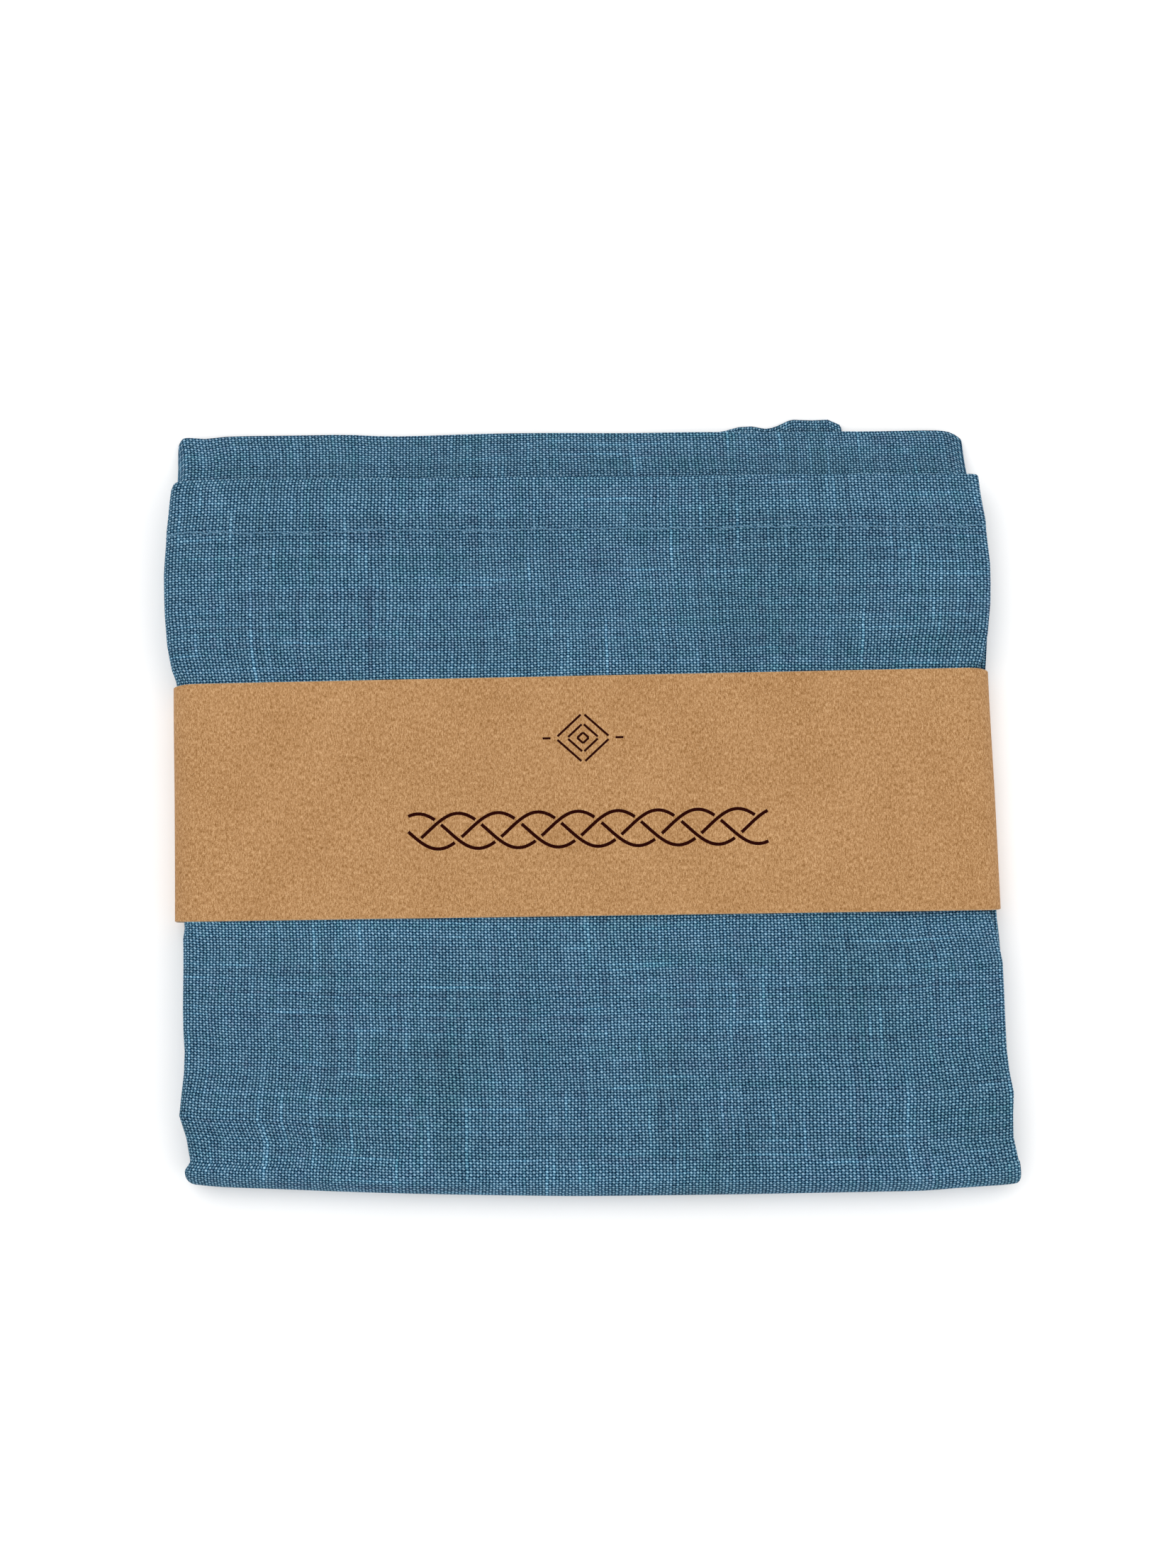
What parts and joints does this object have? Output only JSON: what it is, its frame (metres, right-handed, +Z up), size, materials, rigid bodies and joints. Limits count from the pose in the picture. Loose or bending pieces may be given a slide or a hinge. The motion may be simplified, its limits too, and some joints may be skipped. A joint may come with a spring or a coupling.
{
  "type": "table runner",
  "caption": "Woven cloth table runner folded into a flat rectangular pack and held by a paper belly band that slides off.",
  "frame": {"origin": "under the middle of the folded pack, on the surface that it lies on", "axes": "+Z up through the layers; +Y towards the hemmed edges, away from the round folded nose; +X along the nose, towards the side where the sheet's two ends are tucked"},
  "size_m": [0.229, 0.2159, 0.0148],
  "materials": {
    "cloth": "slubby plain weave, matt, dusty blue",
    "thread": "matt sewing thread",
    "kraft": "uncoated kraft, matt, fine fibres",
    "glue": "dried paper glue"
  },
  "bodies": {
    "folded_cloth": {"runner_cloth": "cloth", "hem_thread_front": "thread", "hem_thread_back": "thread", "end_thread_inner": "thread", "end_thread_outer": "thread"},
    "belly_band": {"kraft_band": "kraft", "band_glue": "glue"}
  },
  "joints": [
    {"name": "band_slide", "type": "slide", "parent": "folded_cloth", "child": "belly_band", "axis": [0, 1, 0], "range_m": [-0.146, 0.142]}
  ]
}
